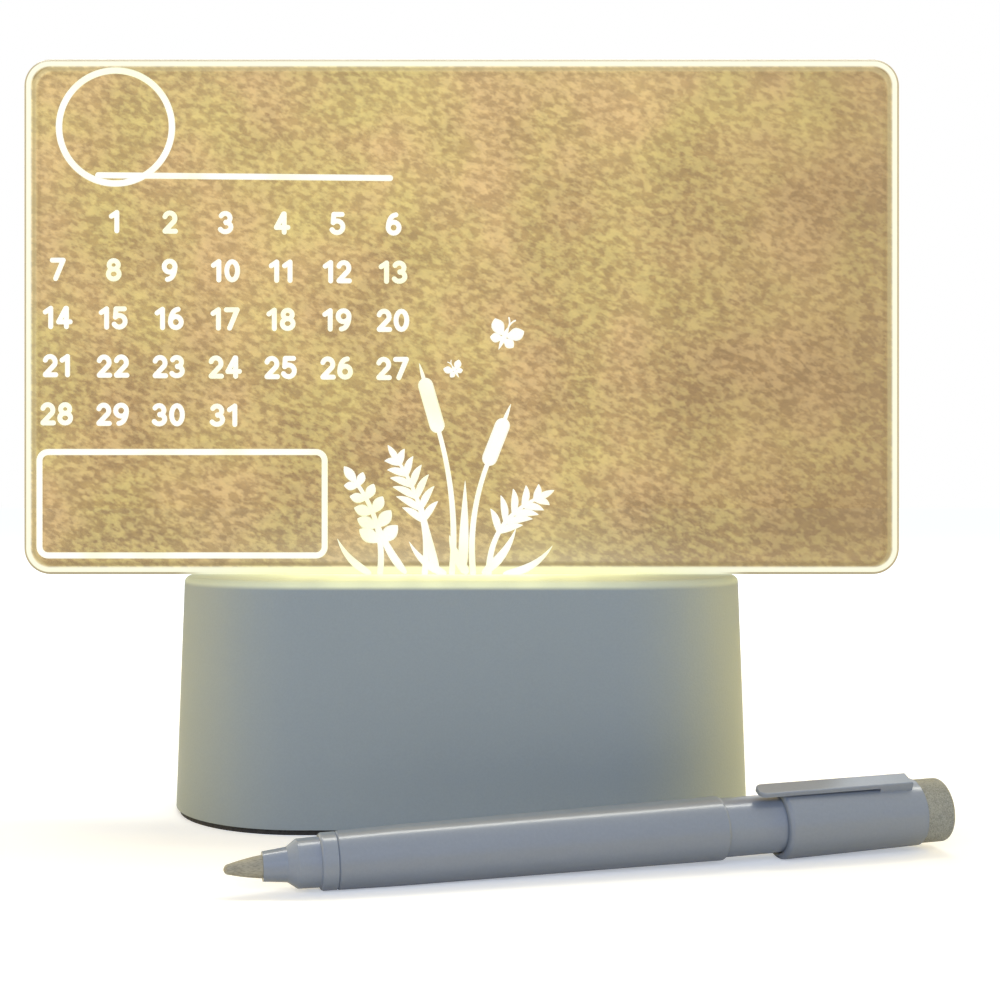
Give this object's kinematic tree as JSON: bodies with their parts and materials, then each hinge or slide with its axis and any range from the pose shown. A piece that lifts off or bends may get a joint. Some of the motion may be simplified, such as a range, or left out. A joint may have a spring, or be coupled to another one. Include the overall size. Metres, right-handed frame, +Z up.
{
  "type": "led writing board",
  "caption": "Clear edge-lit writing panel with a printed calendar, standing in the slot of a lighted stadium-shaped base, with a capped marker pen.",
  "frame": {"origin": "centre of the base's footprint, on the table under the anti-slip pad", "axes": "+X to the right along the panel as seen from the front, +Y to the back, +Z up"},
  "size_m": [0.2, 0.1129, 0.1707],
  "materials": {
    "acrylic_panel": "polished clear",
    "anti_slip_pad": "closed-cell foam",
    "base_shell": "fine-grained moulded grey",
    "bottom_cover": "moulded grey",
    "chip_resistors": "glazed",
    "control_board": "green solder mask",
    "control_board_screws": "plated",
    "cover_screws": "plated",
    "driver_chip": "moulded black",
    "felt_eraser": "pressed felt",
    "ink_filler": "fibre rod",
    "led_board": "white solder mask",
    "led_board_screws": "plated",
    "led_chips": "phosphor yellow",
    "pen_barrel": "satin grey-blue",
    "pen_cap": "satin grey-blue",
    "pen_nib": "pressed felt",
    "pen_nose": "satin grey-blue",
    "power_button": "moulded grey",
    "switch_body": "moulded black",
    "switch_plunger": "moulded",
    "tail_plug": "satin grey-blue",
    "usb_shell": "drawn",
    "usb_tongue": "moulded black",
    "wire_black": "insulation",
    "wire_red": "insulation"
  },
  "bodies": {
    "base": {"anti_slip_pad": "anti_slip_pad", "base_shell": "base_shell", "bottom_cover": "bottom_cover", "chip_resistors": "chip_resistors", "control_board": "control_board", "control_board_screws": "control_board_screws", "cover_screws": "cover_screws", "driver_chip": "driver_chip", "led_board": "led_board", "led_board_screws": "led_board_screws", "led_chips": "led_chips", "switch_body": "switch_body", "usb_shell": "usb_shell", "usb_tongue": "usb_tongue", "wire_black": "wire_black", "wire_red": "wire_red"},
    "panel": {"acrylic_panel": "acrylic_panel"},
    "button": {"power_button": "power_button", "switch_plunger": "switch_plunger"},
    "pen": {"ink_filler": "ink_filler", "pen_barrel": "pen_barrel", "pen_nib": "pen_nib", "pen_nose": "pen_nose", "tail_plug": "tail_plug"},
    "cap": {"felt_eraser": "felt_eraser", "pen_cap": "pen_cap"}
  },
  "joints": [
    {"name": "panel_lift", "type": "slide", "parent": "base", "child": "panel", "axis": [0, 0, 1], "range_m": [0, 0.03]},
    {"name": "button_press", "type": "slide", "parent": "base", "child": "button", "axis": [0, -1, 0], "range_m": [0, 0.0015], "stiffness_N_per_m": 400, "springref_m": -0.001},
    {"name": "pen_lift", "type": "slide", "parent": "base", "child": "pen", "axis": [0, 0, 1], "range_m": [0, 0.05]},
    {"name": "cap_pull", "type": "slide", "parent": "pen", "child": "cap", "axis": [0.9657, 0.2588, 0.0207], "range_m": [0, 0.03]}
  ]
}
